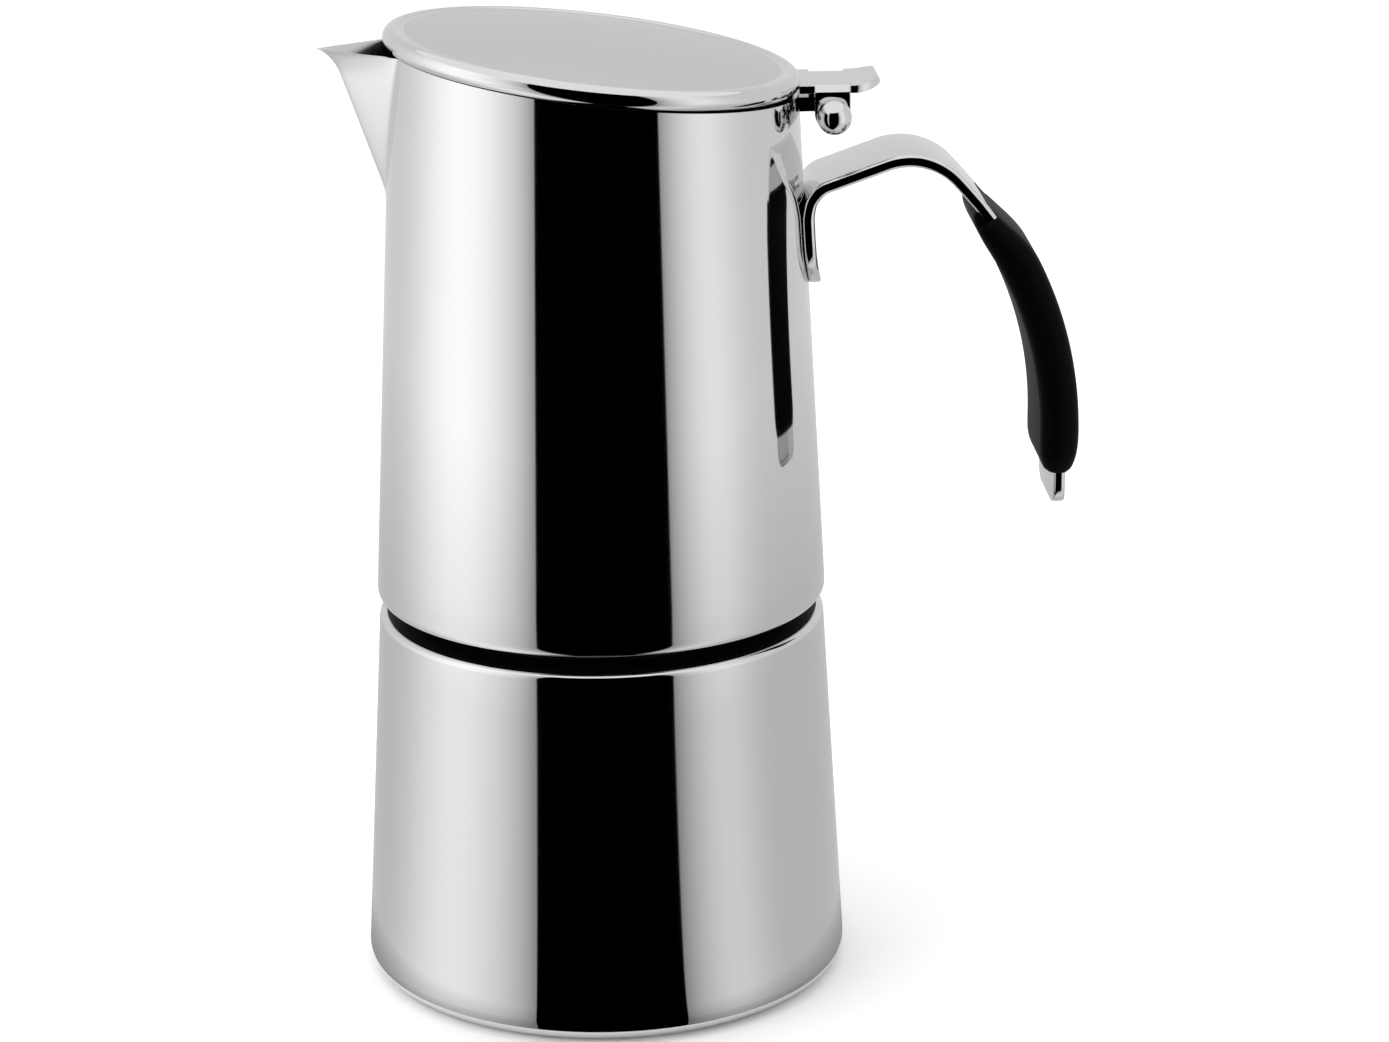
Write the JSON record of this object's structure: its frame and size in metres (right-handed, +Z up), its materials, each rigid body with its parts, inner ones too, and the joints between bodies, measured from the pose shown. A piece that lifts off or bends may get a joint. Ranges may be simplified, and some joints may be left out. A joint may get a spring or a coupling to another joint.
{
  "type": "moka pot",
  "caption": "Stovetop espresso pot of polished steel: tapered boiler, screw-on jug with a pointed spout and a strip handle with a black grip, and a slanted hinged lid.",
  "frame": {"origin": "centre of the foot's flat underside, on the pot's axis", "axes": "+Z up along the pot's axis, +X towards the handle, -X towards the spout"},
  "size_m": [0.1491, 0.1055, 0.1945],
  "materials": {
    "polished_steel": "mirror-polished stainless steel",
    "satin_steel": "satin stainless steel",
    "black_grip": "smooth matt black heat-resistant grip",
    "valve_brass": "turned brass",
    "seal_rubber": "pale food-grade silicone",
    "spring_steel": "drawn spring wire"
  },
  "bodies": {
    "boiler": {"boiler_shell": "polished_steel", "base_disc": "satin_steel", "neck_ring": "satin_steel", "valve_washer": "seal_rubber", "valve_body": "valve_brass", "valve_nut": "satin_steel", "valve_cap": "valve_brass", "valve_spring": "spring_steel", "funnel_cup": "satin_steel", "funnel_stem": "satin_steel", "funnel_strainer": "satin_steel"},
    "relief_pin": {"valve_pin": "valve_brass"},
    "seal": {"gasket": "seal_rubber"},
    "jug": {"filter_plate": "satin_steel", "jug_shell": "polished_steel", "jug_floor": "satin_steel", "thread_collar": "satin_steel", "column": "satin_steel", "column_cap": "satin_steel", "spout": "polished_steel", "handle_strip": "polished_steel", "handle_grip": "black_grip", "hinge_bracket": "polished_steel", "hinge_pin": "satin_steel", "hinge_ball_front": "polished_steel", "hinge_ball_back": "polished_steel"},
    "lid": {"lid_disc": "satin_steel", "lid_lever": "polished_steel"}
  },
  "joints": [
    {"name": "jug_rise", "type": "slide", "parent": "boiler", "child": "seal", "axis": [0, 0, 1], "range_m": [0, 0.0061]},
    {"name": "jug_turn", "type": "hinge", "parent": "seal", "child": "jug", "pos_m": [0, 0, 0.0885], "axis": [0, 0, 1], "range_deg": [0, 540]},
    {"name": "lid_hinge", "type": "hinge", "parent": "jug", "child": "lid", "pos_m": [0.04605, 0, 0.1773], "axis": [0, 1, 0], "range_deg": [0, 92]},
    {"name": "relief_slide", "type": "slide", "parent": "boiler", "child": "relief_pin", "axis": [0, 1, 0], "range_m": [0, 0.0012], "stiffness_N_per_m": 2000, "springref_m": -0.0006, "deforming": ["valve_spring"]}
  ],
  "couplings": [
    {"joint": "jug_rise", "follows": "jug_turn", "m_per_rad": 0.00063662}
  ]
}
